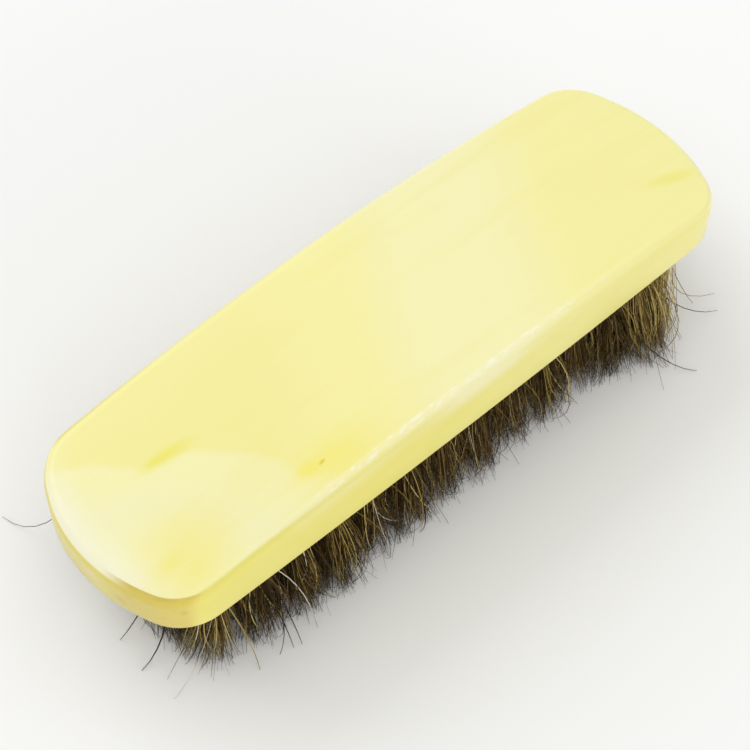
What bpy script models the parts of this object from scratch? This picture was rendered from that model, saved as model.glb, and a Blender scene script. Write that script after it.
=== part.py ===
"""Horsehair bristle brush: a solid wooden block, drilled from below, with a folded tuft of hair in each hole.

Lengths are in metres and +Z is up. X runs along the block and Y across it. The brush stands on its trimmed
bristles at z = 0, with the middle of its outline at x = y = 0.
"""

import math

import bmesh
import bpy
from mathutils import Matrix, Vector

# Wooden block. The top is arched: it falls by the arch's drop from the middle of the block to either end
BLOCK_LENGTH = 0.1600
BLOCK_WIDTH = 0.0488
BLOCK_THICKNESS = 0.0150
ARCH_DROP = 0.0059
END_BOW = 0.0027
SIDE_BOW = 0.0006
CORNER_RADIUS = 0.0116
TOP_ROUNDING = 0.0026
BOTTOM_EASING = 0.0004

# Holes for the tufts, in rows along the block, all as deep as the wood left over the last one allows
TUFTS_IN_ROWS = (14, 15, 15, 14)
END_MARGIN = 0.0115
SIDE_MARGIN = 0.0064
HOLE_RADIUS = 0.0025
HOLE_ROOF = 0.0026
DRILL_POINT = 0.0008
CUT_OVERRUN = 0.0010

# Tufts, each folded over its staple
TUFT_CLEARANCE = 0.0003
FOLD_NARROWING = 0.0007
STAPLE_DEPTH = 0.0017
STAPLE_THICKNESS = 0.0005

# Bristles. The splays are how far the outermost tufts lean out on their way to the floor
BRISTLE_HEIGHT = 0.0220
STRAND_GAP = 0.0005
SIDE_SPLAY = 0.0030
END_SPLAY = 0.0008
TIP_WANDER = 0.0007
WANDER_LENGTH = 0.0240
TRIM_DEPTH = 0.0005
FAN_SHARE = 0.74

# Where a strand turns and ends: shares of its height, of its way out to the tip and of its size at the root
INNER_STRAND_SHARES = ((1.0, 1.0, 1.15),)
EDGE_STRAND_SHARES = ((0.55, 0.40, 1.40), (1.0, 1.0, 1.15))

# Counts of straight steps along the block's curves, and of sides
SIDE_STEPS = 7
CORNER_STEPS = 6
END_STEPS = 3
ROUNDING_STEPS = 3
HOLE_SIDES = 12
STRANDS_IN_TUFT = 6

# An edge that turns by more than this is drawn sharp
WOOD_SHARP_TURN = math.radians(35)
HAIR_SHARP_TURN = math.radians(75)

# Finishes, with each colour as linear red, green and blue
WOOD_COLOUR = (0.86, 0.78, 0.40)
WOOD_ROUGHNESS = 0.28
HAIR_COLOUR = (0.060, 0.038, 0.022)
HAIR_ROUGHNESS = 0.55

# Places and fits that follow from the sizes above
INNER_TUFTS = max(TUFTS_IN_ROWS)
LAST_X = BLOCK_LENGTH / 2 - END_MARGIN
LAST_Y = BLOCK_WIDTH / 2 - SIDE_MARGIN
TUFT_PITCH = 2 * LAST_X / (INNER_TUFTS - 1)
ROW_PITCH = 2 * LAST_Y / (len(TUFTS_IN_ROWS) - 1)
TIP_ROW_PITCH = ROW_PITCH * (1 + SIDE_SPLAY / LAST_Y)
WALL_TURN = math.pi / HOLE_SIDES
ROOT_RADIUS = HOLE_RADIUS - TUFT_CLEARANCE / math.cos(WALL_TURN)
FOLD_RADIUS = ROOT_RADIUS - FOLD_NARROWING
STAPLE_REACH = ROOT_RADIUS - STAPLE_THICKNESS / 2


def top_height(x):
    """Height of the arched top over the flat underside, at a distance x from the middle of the block."""
    return BLOCK_THICKNESS - ARCH_DROP * (x / (BLOCK_LENGTH / 2)) ** 2


HOLE_DEPTH = top_height(LAST_X) - HOLE_ROOF - DRILL_POINT
ROOT_DEPTH = HOLE_DEPTH - TUFT_CLEARANCE


def clear_scene():
    for obj in list(bpy.data.objects):
        bpy.data.objects.remove(obj)


def make_material(name, colour, roughness):
    material = bpy.data.materials.new(name)
    material.use_nodes = True
    shader = material.node_tree.nodes["Principled BSDF"]
    shader.inputs["Base Color"].default_value = (*colour, 1.0)
    shader.inputs["Roughness"].default_value = roughness
    shader.inputs["Metallic"].default_value = 0.0
    material.diffuse_color = (*colour, 1.0)
    return material


def lacquered_wood():
    return make_material("lacquered_wood", WOOD_COLOUR, WOOD_ROUGHNESS)


def horsehair():
    return make_material("horsehair", HAIR_COLOUR, HAIR_ROUGHNESS)


def finish_object(name, bm, material, sharp_turn):
    """Makes a named object of the mesh, shaded smooth but for its sharp edges."""
    bmesh.ops.recalc_face_normals(bm, faces=bm.faces)
    mesh = bpy.data.meshes.new(name)
    bm.to_mesh(mesh)
    bm.free()
    mesh.shade_smooth()
    mesh.set_sharp_from_angle(angle=sharp_turn)
    mesh.materials.append(material)
    obj = bpy.data.objects.new(name, mesh)
    bpy.context.scene.collection.objects.link(obj)
    return obj


def bowed_edge(half_span, middle, bow, steps):
    """Places and outward directions along half of a bowed edge, from its middle to its end.

    The edge is a shallow parabola: it stands at `middle` in the middle and falls by `bow` at `half_span`.
    """
    found = []
    for step in range(steps + 1):
        along = half_span * step / steps
        fall = bow * (along / half_span) ** 2
        slope = 2 * bow * along / half_span**2
        found.append((Vector((along, middle - fall)), Vector((slope, 1)).normalized()))
    return found


def quarter_outline(inset):
    """The plan outline from the middle of the +Y side to the middle of the +X end.

    It runs at the corner radius, less the inset, round two bowed edges that meet at the corner's centre.
    """
    reach = CORNER_RADIUS - inset
    core_x = BLOCK_LENGTH / 2 - CORNER_RADIUS
    core_y = BLOCK_WIDTH / 2 - CORNER_RADIUS
    side = bowed_edge(core_x - END_BOW, core_y, SIDE_BOW, SIDE_STEPS)
    end = bowed_edge(core_y - SIDE_BOW, core_x, END_BOW, END_STEPS)
    end = [(place.yx, facing.yx) for place, facing in reversed(end)]
    corner = side[-1][0]
    first_turn = math.atan2(side[-1][1].y, side[-1][1].x)
    last_turn = math.atan2(end[0][1].y, end[0][1].x)
    points = [place + reach * facing for place, facing in side]
    for step in range(1, CORNER_STEPS):
        turn = first_turn + (last_turn - first_turn) * step / CORNER_STEPS
        points.append(corner + reach * Vector((math.cos(turn), math.sin(turn))))
    return points + [place + reach * facing for place, facing in end]


def whole_outline(inset):
    """The whole plan outline, clockwise from the middle of the +Y side, the same in all four quarters."""
    quarter = quarter_outline(inset)
    half = quarter + [Vector((p.x, -p.y)) for p in reversed(quarter[:-1])]
    return half + [Vector((-p.x, p.y)) for p in reversed(half[1:-1])]


def block_levels():
    """The outline's inset at each ring of the block, with the height of its point over the underside."""
    levels = [(BOTTOM_EASING, lambda x: 0.0), (0.0, lambda x: BOTTOM_EASING)]
    for step in range(ROUNDING_STEPS + 1):
        turn = math.pi / 2 * step / ROUNDING_STEPS
        inset = TOP_ROUNDING * (1 - math.cos(turn))
        fall = TOP_ROUNDING * (1 - math.sin(turn))
        levels.append((inset, lambda x, fall=fall: top_height(x) - fall))
    return levels


def close_top(bm, ring):
    """Spans the last ring with strips across the block, so that the top follows its arch."""
    count = len(ring)
    right, left = ring[: count // 2 + 1], [ring[0], *reversed(ring[count // 2 :])]
    middle = len(right) // 2
    for half in (right, left):
        for step in range(middle):
            corners = [half[step], half[step + 1], half[-2 - step], half[-1 - step]]
            unlike = list(dict.fromkeys(corners))
            bm.faces.new(unlike)


def drill_holes(block, places):
    """Cuts one blind hole with a drill point at each place."""
    bm = bmesh.new()
    height = HOLE_DEPTH + CUT_OVERRUN
    for place in places:
        lift = Matrix.Translation((place.x, place.y, HOLE_DEPTH - height / 2))
        drill = bmesh.ops.create_cone(
            bm,
            cap_ends=True,
            segments=HOLE_SIDES,
            radius1=HOLE_RADIUS,
            radius2=HOLE_RADIUS,
            depth=height,
            matrix=lift,
        )
        faces = {face for vert in drill["verts"] for face in vert.link_faces}
        tip = max(faces, key=lambda face: face.calc_center_median().z)
        point = bmesh.ops.poke(bm, faces=[tip])["verts"][0]
        point.co.z += DRILL_POINT
    cutter = finish_object("hole_cutter", bm, None, WOOD_SHARP_TURN)
    cutter.parent = block
    cutter.hide_render = True
    cutter.display_type = "WIRE"
    cut = block.modifiers.new("holes", "BOOLEAN")
    cut.operation = "DIFFERENCE"
    cut.solver = "EXACT"
    cut.object = cutter


def make_block(material):
    """The wooden block, with its origin in the middle of its flat underside."""
    bm = bmesh.new()
    rings = []
    for inset, height in block_levels():
        rings.append([bm.verts.new((p.x, p.y, height(p.x))) for p in whole_outline(inset)])
    bm.faces.new(rings[0])
    for lower, upper in zip(rings, rings[1:]):
        for k in range(len(lower)):
            bm.faces.new((lower[k - 1], lower[k], upper[k], upper[k - 1]))
    close_top(bm, rings[-1])
    block = finish_object("wood_block", bm, material, WOOD_SHARP_TURN)
    block.location.z = BRISTLE_HEIGHT
    return block


def tuft_places():
    """Row number, number in the row and place of each tuft's hole."""
    for row, count in enumerate(TUFTS_IN_ROWS):
        for number in range(count):
            x = TUFT_PITCH * (number - (count - 1) / 2)
            y = ROW_PITCH * (row - (len(TUFTS_IN_ROWS) - 1) / 2)
            yield row + 1, number + 1, Vector((x, y))


def is_at_edge(place):
    """Whether a tuft has no neighbour on one side, so that its hair can bend outwards."""
    return abs(place.y) > LAST_Y - ROW_PITCH / 2 or abs(place.x) > LAST_X - TUFT_PITCH / 2


def add_root(bm):
    """The folded bundle in its hole. Returns the faces at the hole's mouth, one for each strand."""
    column = ROOT_DEPTH - STAPLE_DEPTH
    bmesh.ops.create_cone(
        bm,
        cap_ends=True,
        segments=STRANDS_IN_TUFT,
        radius1=ROOT_RADIUS,
        radius2=FOLD_RADIUS,
        depth=column,
        matrix=Matrix.Translation((0, 0, column / 2)),
    )
    mouth, *_, fold = sorted(bm.faces, key=lambda face: face.calc_center_median().z)
    fold = bmesh.ops.extrude_discrete_faces(bm, faces=[fold])["faces"][0]
    bmesh.ops.translate(bm, verts=fold.verts, vec=(0, 0, STAPLE_DEPTH))
    bm.normal_update()
    add_staple_ends(bm, fold)
    return bmesh.ops.poke(bm, faces=[mouth])["faces"]


def add_staple_ends(bm, fold):
    """Draws the staple's two ends out of the walls beside the fold that face along the block."""
    walls = [face for edge in fold.edges for face in edge.link_faces if face is not fold]
    by_facing = sorted(walls, key=lambda face: face.normal.x)
    for wall, side in ((by_facing[0], -1), (by_facing[-1], 1)):
        end = bmesh.ops.extrude_discrete_faces(bm, faces=[wall])["faces"][0]
        for vert in end.verts:
            vert.co.x = side * STAPLE_REACH
            vert.co.y = math.copysign(STAPLE_THICKNESS / 2, vert.co.y)


def tip_place(place, offset):
    """Where a strand meets the floor, from its tuft's place and its offset in the hole.

    The rows lean outwards, each tuft fans out into its share of the space between its neighbours, and a slow
    wave that is odd about the middle keeps the tips from standing in straight lines.
    """
    reach = ROOT_RADIUS * math.cos(math.pi / STRANDS_IN_TUFT) * 2 / 3
    lean = Vector((place.x * END_SPLAY / LAST_X, place.y * SIDE_SPLAY / LAST_Y))
    fan = FAN_SHARE / 2 / reach * Vector((offset.x * TUFT_PITCH, offset.y * TIP_ROW_PITCH))
    tip = place + lean + fan
    wave = 2 * math.pi / WANDER_LENGTH
    across = math.sin(wave * (tip.x + tip.y))
    along = math.sin(wave * (tip.y - tip.x))
    return tip + TIP_WANDER * Vector((along, across))


def grow_strand(bm, face, place, strand_shares):
    """Draws one strand down from its face at the hole's mouth to past the bristle height."""
    centre = face.calc_center_median()
    root, tip = centre.xy, tip_place(place, centre.xy) - place
    size = 1
    for height_share, way_share, size_share in strand_shares:
        face = bmesh.ops.extrude_discrete_faces(bm, faces=[face])["faces"][0]
        next_centre = root.lerp(tip, way_share).to_3d()
        next_centre.z = -(BRISTLE_HEIGHT + TRIM_DEPTH) * height_share
        for vert in face.verts:
            vert.co = next_centre + size_share / size * (vert.co - centre)
        centre, size = next_centre, size_share


def trim_level(bm):
    """Trims all strands to the bristle height, which leaves each with a flat end."""
    everything = [*bm.verts, *bm.edges, *bm.faces]
    cut = bmesh.ops.bisect_plane(
        bm, geom=everything, plane_co=(0, 0, -BRISTLE_HEIGHT), plane_no=(0, 0, -1), clear_outer=True
    )
    ends = [item for item in cut["geom_cut"] if isinstance(item, bmesh.types.BMEdge)]
    bmesh.ops.holes_fill(bm, edges=ends)


def make_tuft(name, place, block, material):
    """One tuft: the bundle folded over its staple and six strands, with its origin at its hole's mouth."""
    bm = bmesh.new()
    mouth = add_root(bm)
    bmesh.ops.inset_individual(bm, faces=mouth, thickness=STRAND_GAP / 2, use_even_offset=True)
    strand_shares = EDGE_STRAND_SHARES if is_at_edge(place) else INNER_STRAND_SHARES
    for face in mouth:
        grow_strand(bm, face, place, strand_shares)
    trim_level(bm)
    tuft = finish_object(name, bm, material, HAIR_SHARP_TURN)
    tuft.parent = block
    tuft.location = (place.x, place.y, 0)


def main():
    clear_scene()
    wood, hair = lacquered_wood(), horsehair()
    block = make_block(wood)
    places = list(tuft_places())
    drill_holes(block, [place for _, _, place in places])
    for row, number, place in places:
        make_tuft(f"tuft_row{row}_{number:02d}", place, block, hair)


main()
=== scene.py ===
"""Looks of the horsehair bristle brush: lacquered block, tufts of folded hairs, floor, light and camera.

Lengths are in metres and +Z is up. The bristles stand on the floor at z = 0, and X runs along the block.
"""

import math

import bmesh
import bpy
import numpy as np
from mathutils import Matrix, Vector


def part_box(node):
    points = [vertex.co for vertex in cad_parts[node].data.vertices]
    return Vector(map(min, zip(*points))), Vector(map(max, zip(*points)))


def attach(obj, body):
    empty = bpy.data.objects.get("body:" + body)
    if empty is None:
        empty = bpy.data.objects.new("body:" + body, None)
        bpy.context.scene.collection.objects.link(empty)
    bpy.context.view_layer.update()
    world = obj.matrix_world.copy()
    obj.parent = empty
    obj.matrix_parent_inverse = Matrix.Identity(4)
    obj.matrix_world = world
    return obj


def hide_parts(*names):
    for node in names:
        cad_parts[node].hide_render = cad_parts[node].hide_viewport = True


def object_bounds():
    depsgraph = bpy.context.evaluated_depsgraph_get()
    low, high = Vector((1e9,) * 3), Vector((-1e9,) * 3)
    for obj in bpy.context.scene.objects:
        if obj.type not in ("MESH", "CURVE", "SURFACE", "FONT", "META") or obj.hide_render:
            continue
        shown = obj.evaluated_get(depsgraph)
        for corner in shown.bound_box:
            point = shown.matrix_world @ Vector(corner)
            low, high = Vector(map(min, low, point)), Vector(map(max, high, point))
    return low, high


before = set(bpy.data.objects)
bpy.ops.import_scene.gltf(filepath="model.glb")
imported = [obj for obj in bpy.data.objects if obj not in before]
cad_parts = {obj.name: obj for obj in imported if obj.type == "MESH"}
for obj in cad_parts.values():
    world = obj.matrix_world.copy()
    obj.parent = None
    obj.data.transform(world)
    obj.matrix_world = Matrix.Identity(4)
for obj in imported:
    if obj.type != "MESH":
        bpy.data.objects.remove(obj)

CAD_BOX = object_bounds()
HALF_LENGTH = CAD_BOX[1][0]
BODY = "root"
ALONG_X = (1, 0, 0)
ALONG_Y = (0, 1, 0)

# Camera, at the photograph's viewing angle
CAMERA_PLACE = (-0.1666, -0.1796, 0.3695)
CAMERA_AZIMUTH = math.radians(-42.023)
CAMERA_ELEVATION = math.radians(55.52)
CAMERA_LENS = 98.41
SENSOR_WIDTH = 36.0
NEAREST_SEEN = 0.01

# Floor and light. Powers are in watts
FLOOR_HALF = 12.0
FLOOR_COLOUR = (0.93, 0.93, 0.93)
FLOOR_ROUGHNESS = 0.9
FLOOR_GLOSS = 0.1
WORLD_COLOUR = (1.0, 1.0, 0.99)
WORLD_STRENGTH = 0.80
BACK_PLACE = (-0.20, 2.07, 1.56)
BACK_SIZE = (2.60, 1.80)
BACK_POWER = 25.0
FILL_PLACE = (-0.10, -3.00, 0.62)
FILL_SIZE = (3.0, 1.0)
FILL_POWER = 34.0
LIGHTS_AIM = (0.0, 0.0, 0.03)

# Shape of the block, as in the part's source
ARCH_DROP = 0.0059
END_BOW = 0.0027
SIDE_BOW = 0.0006
CORNER_RADIUS = 0.0116
TOP_ROUNDING = 0.0026
BOTTOM_EASING = 0.0004
HOLE_RADIUS = 0.0025
HOLE_CLEARANCE = 0.0003
DRILL_POINT = 0.0008
CUT_OVERRUN = 0.0010

# The corner of the block that was sanded rounder by hand
SANDED_DEPTH = 0.0007
SANDED_REACH = 0.0075

# Counts of straight steps along the finer block's curves
SIDE_STEPS = 28
CORNER_STEPS = 16
END_STEPS = 12
TOP_STEPS = 9
BOTTOM_STEPS = 3
HOLE_SIDES = 24

# Edges that turn by more than this look sharp, and faces that point down by more than this look flat
SHARP_TURN = math.radians(35)
FLAT_FACING = 0.9999

# Tufts. Each hair is folded in half over the staple, so that both its ends are bristles
SEED = 41
FOLDED_HAIRS = 180
BUNDLE_RADIUS = 0.0021
FOLD_SHARE = 0.66
FOLD_STACK = 0.0011
HAIR_RADIUS = 0.00011
THIN_HAIR_SHARE = 0.55
THIN_HAIR_POWER = 1.5
PALE_HAIR_EXTRA = 0.15
TIP_THICKNESS_SHARE = 0.35
TAPER_POWER = 3
HAIR_STEPS = 8
HAIR_SIDES = 3

# Where the hairs go on their way to the floor. The tips of a tuft fill a rounded square, as shares of the
# spacing of the tufts, and the powers say how late a hair leans outwards, where 1 is a straight line
TIP_PITCH = (0.0098, 0.0140)
FAN_SHARES = (1.10, 0.74)
SQUARE_SHARE = 0.6
LAST_HOLE = (0.0685, 0.0180)
SIDE_SPLAY = 0.0025
LEAN_SCATTER = 0.0008
INNER_BEND_POWER = 1.2
EDGE_BEND_POWER = 1.6
RIGHT_END_BEND_POWER = 0.8
CLUMPS = 8
CLUMP_SHARE = 0.85
CLUMP_DRIFT = 0.0012
TANGLED_HAIR_SHARE = 0.48
TIP_SCATTER = 0.0006
HAIR_BOW = 0.0006
UNRULY_HAIR_SHARE = 0.50
UNRULY_BOW = 0.0028
LEFT_BOW_SHARE = 0.5
TIP_CURL = 0.0007
CURL_POWER = 3
SHORT_HAIR_SHARE = 0.30
SHORTENING = 0.0020
WILD_HAIR_SHARE = 0.06
WILD_SCATTER = 0.0026

# How far the front row's tufts lean outwards, from the left end to the right one
FRONT_SPLAYS = (
    -0.0005,
    0.0026,
    0.0040,
    0.0048,
    0.0024,
    0.0036,
    0.0023,
    0.0034,
    0.0021,
    0.0029,
    0.0004,
    0.0052,
    0.0062,
    0.0060,
)

# How far along X the tufts at the left and right ends lean, and the whole lean of some that show
END_LEANS = (0.0022, -0.0044)
SEEN_LEANS = {
    "tuft_row1_01": (-0.0018, 0.0010),
    "tuft_row2_01": (0.0020, -0.0038),
    "tuft_row1_13": (-0.0012, -0.0073),
    "tuft_row1_14": (-0.0065, -0.0038),
}

# Hairs that would end beyond this place near the right end are drawn back by this share
RIGHT_END_LIMIT = 0.0606
RIGHT_END_PULL = 0.75

# Hairs that stray from their tufts: their tuft, tone, share of the full thickness, place half-way, and tip
STRAYS = (
    ("row2_01", 0.00, 2.0, (-0.0713, -0.0112, 0.005), (-0.0790, -0.0131, 0.000)),
    ("row2_01", 0.00, 1.6, (-0.0721, -0.0051, 0.006), (-0.0781, -0.0049, 0.000)),
    ("row1_01", 0.02, 1.2, (-0.0688, -0.0188, 0.006), (-0.0718, -0.0178, 0.000)),
    ("row1_01", 0.97, 0.6, (-0.0705, -0.0210, 0.005), (-0.0782, -0.0223, 0.000)),
    ("row1_01", 0.80, 1.3, (-0.0603, -0.0237, 0.006), (-0.0614, -0.0287, 0.000)),
    ("row1_01", 0.93, 1.5, (-0.0575, -0.0197, 0.012), (-0.0597, -0.0226, 0.002)),
    ("row1_02", 0.90, 1.3, (-0.0576, -0.0219, 0.011), (-0.0565, -0.0238, 0.003)),
    ("row1_02", 0.98, 1.1, (-0.0466, -0.0240, 0.009), (-0.0467, -0.0293, 0.000)),
    ("row1_02", 0.00, 1.4, (-0.0523, -0.0254, 0.006), (-0.0563, -0.0288, 0.000)),
    ("row1_02", 0.00, 1.4, (-0.0510, -0.0260, 0.006), (-0.0515, -0.0301, 0.000)),
    ("row1_02", 0.00, 1.4, (-0.0525, -0.0250, 0.006), (-0.0532, -0.0295, 0.000)),
    ("row1_03", 0.98, 1.1, (-0.0438, -0.0229, 0.012), (-0.0472, -0.0223, 0.007)),
    ("row1_06", 0.02, 1.3, (-0.0140, -0.0256, 0.005), (-0.0164, -0.0269, 0.000)),
    ("row1_08", 0.75, 1.0, (0.0061, -0.0208, 0.009), (0.0092, -0.0267, 0.001)),
    ("row1_08", 0.88, 1.2, (0.0030, -0.0196, 0.009), (0.0050, -0.0230, 0.003)),
    ("row1_12", 0.10, 1.4, (0.0500, -0.0300, 0.005), (0.0562, -0.0375, 0.000)),
    ("row1_13", 0.15, 1.1, (0.0625, -0.0250, 0.006), (0.0717, -0.0294, 0.000)),
    ("row1_14", 0.55, 1.0, (0.0664, -0.0208, 0.008), (0.0691, -0.0244, 0.000)),
    ("row1_14", 0.60, 0.8, (0.0655, -0.0220, 0.006), (0.0747, -0.0257, 0.000)),
    ("row4_01", 0.45, 0.9, (-0.0745, 0.0250, 0.004), (-0.0786, 0.0343, 0.000)),
)
STRAY_HALFWAY = 0.55

# Light locks of hair within the tufts
LOCK_PLACE_SCATTER = 0.6
LOCK_REACH = 0.45
LOCK_LIFT = 0.65

# The hair is lighter towards the right end, and some tufts that show are lighter or darker than that
PALE_END_LIFT = 0.12
SEEN_LIFTS = {"tuft_row1_01": 0.30, "tuft_row1_12": -0.10, "tuft_row1_13": 0.22, "tuft_row1_14": 0.78}
LIFTED_SHARE = 0.8

# Staple of flat wire across the fold
STAPLE_REACH = 0.00215
STAPLE_HALF_DEPTH = 0.00055
STAPLE_HALF_THICKNESS = 0.00022
STAPLE_STEPS = 6
STAPLE_SIDES = 8
STAPLE_DROP = 0.0013

# One column of this map for each folded hair, though the last ones share the columns and the looks of the
# first, and the last column for the staple
HAIR_MAP = "OFBake"
HAIR_COLUMNS = 128
MAPPED_HAIRS = 125
COLUMN_MARGIN_SHARE = 0.2


def main():
    set_view()
    make_camera()
    make_floor()
    make_lights()
    make_block(lacquered_wood())
    make_tufts(horsehair(), wire())


# Camera, floor and light


def set_view():
    bpy.context.scene.view_settings.view_transform = "Standard"


def link_object(name, data):
    obj = bpy.data.objects.new(name, data)
    bpy.context.scene.collection.objects.link(obj)
    return obj


def make_camera():
    data = bpy.data.cameras.new("camera")
    data.lens = CAMERA_LENS
    data.sensor_width = SENSOR_WIDTH
    data.clip_start = NEAREST_SEEN
    camera = link_object("camera", data)
    turn = Matrix.Rotation(CAMERA_AZIMUTH, 4, "Z")
    tilt = Matrix.Rotation(math.pi / 2 - CAMERA_ELEVATION, 4, "X")
    camera.matrix_world = Matrix.Translation(CAMERA_PLACE) @ turn @ tilt
    bpy.context.scene.camera = camera


def make_floor():
    mesh = bpy.data.meshes.new("floor")
    low, high = -FLOOR_HALF, FLOOR_HALF
    corners = [(low, low, 0), (high, low, 0), (high, high, 0), (low, high, 0)]
    mesh.from_pydata(corners, [], [range(len(corners))])
    material, _, shader = new_material("floor")
    shader.inputs["Base Color"].default_value = (*FLOOR_COLOUR, 1)
    shader.inputs["Roughness"].default_value = FLOOR_ROUGHNESS
    shader.inputs["Specular IOR Level"].default_value = FLOOR_GLOSS
    mesh.materials.append(material)
    link_object("floor", mesh)


def make_lights():
    world = bpy.data.worlds.new("studio")
    world.use_nodes = True
    background = world.node_tree.nodes["Background"]
    background.inputs["Color"].default_value = (*WORLD_COLOUR, 1)
    background.inputs["Strength"].default_value = WORLD_STRENGTH
    bpy.context.scene.world = world
    make_lamp("back", BACK_PLACE, BACK_SIZE, BACK_POWER)
    make_lamp("fill", FILL_PLACE, FILL_SIZE, FILL_POWER, mirrored=False)


def make_lamp(name, place, size, power, mirrored=True):
    """A rectangular lamp that faces the brush, its first side running as nearly along X as it can.

    A lamp that isn't mirrored gives light but doesn't show in the lacquer.
    """
    data = bpy.data.lights.new(name, "AREA")
    data.shape = "RECTANGLE"
    data.size, data.size_y = size
    data.energy = power
    lamp = link_object(name, data)
    lamp.visible_glossy = mirrored
    away = (Vector(place) - Vector(LIGHTS_AIM)).normalized()
    upward = away.cross(ALONG_X).normalized()
    turn = Matrix((upward.cross(away), upward, away)).transposed().to_4x4()
    lamp.matrix_world = Matrix.Translation(place) @ turn


# Building blocks for materials


def new_material(name):
    material = bpy.data.materials.new(name)
    material.use_nodes = True
    tree = material.node_tree
    return material, tree, tree.nodes["Principled BSDF"]


def add_node(tree, kind, **settings):
    node = tree.nodes.new(kind)
    for key, value in settings.items():
        setattr(node, key, value)
    return node


def feed(tree, socket, value):
    """Links a socket to another one, or sets it to a plain value."""
    if isinstance(value, bpy.types.NodeSocket):
        tree.links.new(value, socket)
    else:
        socket.default_value = value


def calc(tree, operation, *values):
    node = add_node(tree, "ShaderNodeMath", operation=operation)
    for socket, value in zip(node.inputs, values):
        feed(tree, socket, value)
    return node.outputs[0]


def product(tree, *factors):
    result, *others = factors
    for factor in others:
        result = calc(tree, "MULTIPLY", result, factor)
    return result


def rest_of(tree, share):
    return calc(tree, "SUBTRACT", 1.0, share)


def between(tree, share, start, end):
    """The start value where the share is 0 and the end value where it is 1."""
    return calc(tree, "MULTIPLY_ADD", share, end - start, start)


def places_of(tree):
    """Places in the shared frame, as the pieces' objects sit at the origin."""
    return add_node(tree, "ShaderNodeTexCoord").outputs["Object"]


def split(tree, vector):
    node = add_node(tree, "ShaderNodeSeparateXYZ")
    feed(tree, node.inputs[0], vector)
    return node.outputs


def measured(tree, places, sizes, centre=(0, 0, 0), turn=0.0):
    """The places as counts of these sizes from a centre, along axes turned in plan."""
    node = add_node(tree, "ShaderNodeMapping", vector_type="TEXTURE")
    feed(tree, node.inputs["Vector"], places)
    node.inputs["Location"].default_value = centre
    node.inputs["Rotation"].default_value = (0, 0, turn)
    node.inputs["Scale"].default_value = sizes
    return node.outputs[0]


def noise(tree, places, sizes, detail=2.0, roughness=0.5, distortion=0.0, seed=0.0):
    """A noise from 0 to 1 whose features have these sizes along X, Y and Z."""
    node = add_node(tree, "ShaderNodeTexNoise", noise_dimensions="4D")
    feed(tree, node.inputs["Vector"], measured(tree, places, sizes))
    node.inputs["W"].default_value = seed
    node.inputs["Scale"].default_value = 1.0
    node.inputs["Detail"].default_value = detail
    node.inputs["Roughness"].default_value = roughness
    node.inputs["Distortion"].default_value = distortion
    return node.outputs["Fac"]


def step_from(tree, value, start, end):
    """Rises smoothly from 0 at start to 1 at end."""
    node = add_node(tree, "ShaderNodeMapRange", interpolation_type="SMOOTHSTEP")
    feed(tree, node.inputs["Value"], value)
    node.inputs["From Min"].default_value = start
    node.inputs["From Max"].default_value = end
    return node.outputs["Result"]


def within(tree, value, *limits):
    """1 where all these changes are complete, and 0 where one of them hasn't begun."""
    return product(tree, *(step_from(tree, value, *pair) for pair in limits))


def patch(tree, places, centre, half_sizes, turn, hardness=0.0):
    """1 in the middle of an ellipsoid and 0 at its edge and beyond."""
    inside = measured(tree, places, half_sizes, centre, turn)
    length = add_node(tree, "ShaderNodeVectorMath", operation="LENGTH")
    feed(tree, length.inputs[0], inside)
    return step_from(tree, length.outputs["Value"], 1.0, hardness)


def blend(tree, factor, first, second, kind="MIX"):
    """From the first colour at factor 0 to the second, or what the kind makes of both, at factor 1."""
    node = add_node(tree, "ShaderNodeMix", data_type="RGBA", blend_type=kind)
    feed(tree, node.inputs["Factor"], factor)
    sockets = [socket for socket in node.inputs if socket.type == "RGBA"]
    for socket, value in zip(sockets, (first, second)):
        feed(tree, socket, value if isinstance(value, bpy.types.NodeSocket) else (*value, 1))
    return next(socket for socket in node.outputs if socket.type == "RGBA")


def shaded(tree, colour, share):
    return blend(tree, 1.0, colour, share, kind="MULTIPLY")


def ramp(tree, value, stops):
    """A colour that passes smoothly through (place, colour) stops."""
    node = add_node(tree, "ShaderNodeValToRGB")
    feed(tree, node.inputs[0], value)
    node.color_ramp.interpolation = "EASE"
    elements = node.color_ramp.elements
    for place, _ in stops[1:-1]:
        elements.new(place)
    for element, (place, colour) in zip(elements, stops):
        element.position = place
        element.color = (*colour, 1)
    return node.outputs["Color"]


def curve_of(tree, value, span, points):
    """A smooth curve through (value, result) points, both within one span."""
    low, high = span
    node = add_node(tree, "ShaderNodeFloatCurve")
    share = calc(tree, "DIVIDE", calc(tree, "SUBTRACT", value, low), high - low)
    feed(tree, node.inputs["Value"], share)
    shares = [[(number - low) / (high - low) for number in point] for point in sorted(points)]
    curve = node.mapping.curves[0]
    for place in shares[1:-1]:
        curve.points.new(*place)
    curve.points[0].location = shares[0]
    curve.points[-1].location = shares[-1]
    node.mapping.update()
    return between(tree, node.outputs[0], low, high)


def attribute(tree, name):
    return add_node(tree, "ShaderNodeAttribute", attribute_name=name).outputs["Fac"]


# Lacquered wood

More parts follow.
